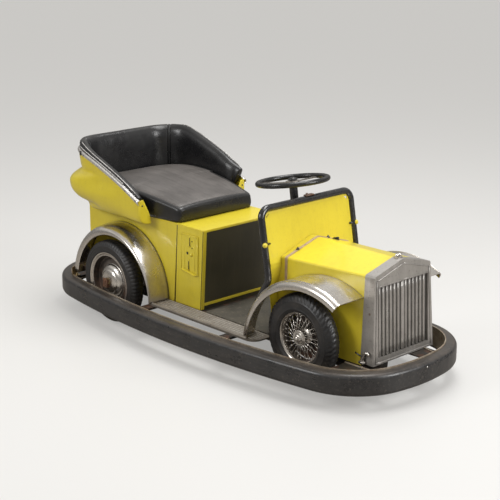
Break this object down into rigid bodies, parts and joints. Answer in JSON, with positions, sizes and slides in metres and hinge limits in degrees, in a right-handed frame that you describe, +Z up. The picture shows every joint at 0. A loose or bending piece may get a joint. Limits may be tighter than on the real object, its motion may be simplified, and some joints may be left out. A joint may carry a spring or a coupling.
{
  "type": "bumper car",
  "caption": "Child-size fairground bumper car with a vintage touring body: rubber bumper ring, chrome fenders, wire front wheels, hooded seat, windscreen panel and steered drive wheel.",
  "frame": {"origin": "on the floor, at the middle of the bumper ring's length and width", "axes": "+X is forward towards the grille, +Y is to the car's left, +Z is up"},
  "size_m": [1.7, 0.7356, 0.6572],
  "materials": {
    "rubber": "worn matte",
    "tyre": "matte",
    "frame_steel": "satin, chipped",
    "channel_steel": "dull, dirty",
    "aluminium": "dull, ribbed, dirty",
    "yellow_paint": "gloss, lightly worn",
    "dark_panel": "satin",
    "mat_rubber": "matte, dusty",
    "black_vinyl": "satin vinyl",
    "seat_vinyl": "worn vinyl",
    "chrome": "worn polish",
    "black_tube": "gloss black",
    "cream_trim": "satin",
    "grille_metal": "dull plated",
    "black_plastic": "moulded",
    "machined_steel": "machined",
    "motor_paint": "satin"
  },
  "bodies": {
    "chassis": {"bumper_ring": "rubber", "bumper_channel": "channel_steel", "chassis_rails": "frame_steel", "cross_members": "frame_steel", "floor_pan": "frame_steel", "floor_mat": "mat_rubber", "running_boards": "aluminium", "seat_box_sides": "yellow_paint", "seat_box_front": "dark_panel", "seat_deck": "yellow_paint", "tail_panel": "yellow_paint", "battery_box": "motor_paint", "coin_plate": "yellow_paint", "tub_shell": "yellow_paint", "tub_trim": "aluminium", "seat_back": "black_vinyl", "seat_cushion": "seat_vinyl", "rear_fender_right": "chrome", "rear_fender_left": "chrome", "front_fender_right": "chrome", "front_fender_left": "chrome", "windscreen_frame": "black_tube", "windscreen_panel": "yellow_paint", "bonnet": "yellow_paint", "bonnet_trim": "cream_trim", "grille_shell": "grille_metal", "grille_bars": "grille_metal", "grille_ornament": "chrome", "front_hooks": "chrome", "rear_axle": "machined_steel", "front_axle": "machined_steel", "steering_bridge": "frame_steel", "steering_column": "black_tube"},
    "rear_right_wheel": {"rear_tyre_right": "tyre", "rear_wheel_right": "chrome"},
    "rear_left_wheel": {"rear_tyre_left": "tyre", "rear_wheel_left": "chrome"},
    "front_right_wheel": {"front_tyre_right": "tyre", "front_wheel_right": "chrome"},
    "front_left_wheel": {"front_tyre_left": "tyre", "front_wheel_left": "chrome"},
    "steered_drive_unit": {"drive_fork": "frame_steel", "drive_motor": "motor_paint"},
    "drive_wheel": {"drive_tyre": "tyre", "drive_hub": "machined_steel"},
    "steering_wheel": {"steering_rim": "black_plastic", "steering_spokes": "chrome", "steering_shaft": "machined_steel"}
  },
  "joints": [
    {"name": "rear_right_spin", "type": "hinge", "parent": "chassis", "child": "rear_right_wheel", "pos_m": [-0.436, -0.255, 0.155], "axis": [0, 1, 0], "continuous": true},
    {"name": "rear_left_spin", "type": "hinge", "parent": "chassis", "child": "rear_left_wheel", "pos_m": [-0.436, 0.255, 0.155], "axis": [0, 1, 0], "continuous": true},
    {"name": "front_right_spin", "type": "hinge", "parent": "chassis", "child": "front_right_wheel", "pos_m": [0.505, -0.208, 0.172], "axis": [0, 1, 0], "continuous": true},
    {"name": "front_left_spin", "type": "hinge", "parent": "chassis", "child": "front_left_wheel", "pos_m": [0.505, 0.208, 0.172], "axis": [0, 1, 0], "continuous": true},
    {"name": "drive_steer", "type": "hinge", "parent": "chassis", "child": "steered_drive_unit", "pos_m": [0.6, 0, 0.225], "axis": [0, 0, 1], "range_deg": [-60, 60]},
    {"name": "drive_spin", "type": "hinge", "parent": "steered_drive_unit", "child": "drive_wheel", "pos_m": [0.6, 0, 0.075], "axis": [0, 1, 0], "continuous": true},
    {"name": "steering_turn", "type": "hinge", "parent": "chassis", "child": "steering_wheel", "pos_m": [0.244, 0, 0.611], "axis": [-0.1478, 0, 0.989], "range_deg": [-90, 90]}
  ],
  "couplings": [
    {"joint": "steering_turn", "follows": "drive_steer", "ratio": 1.5}
  ]
}
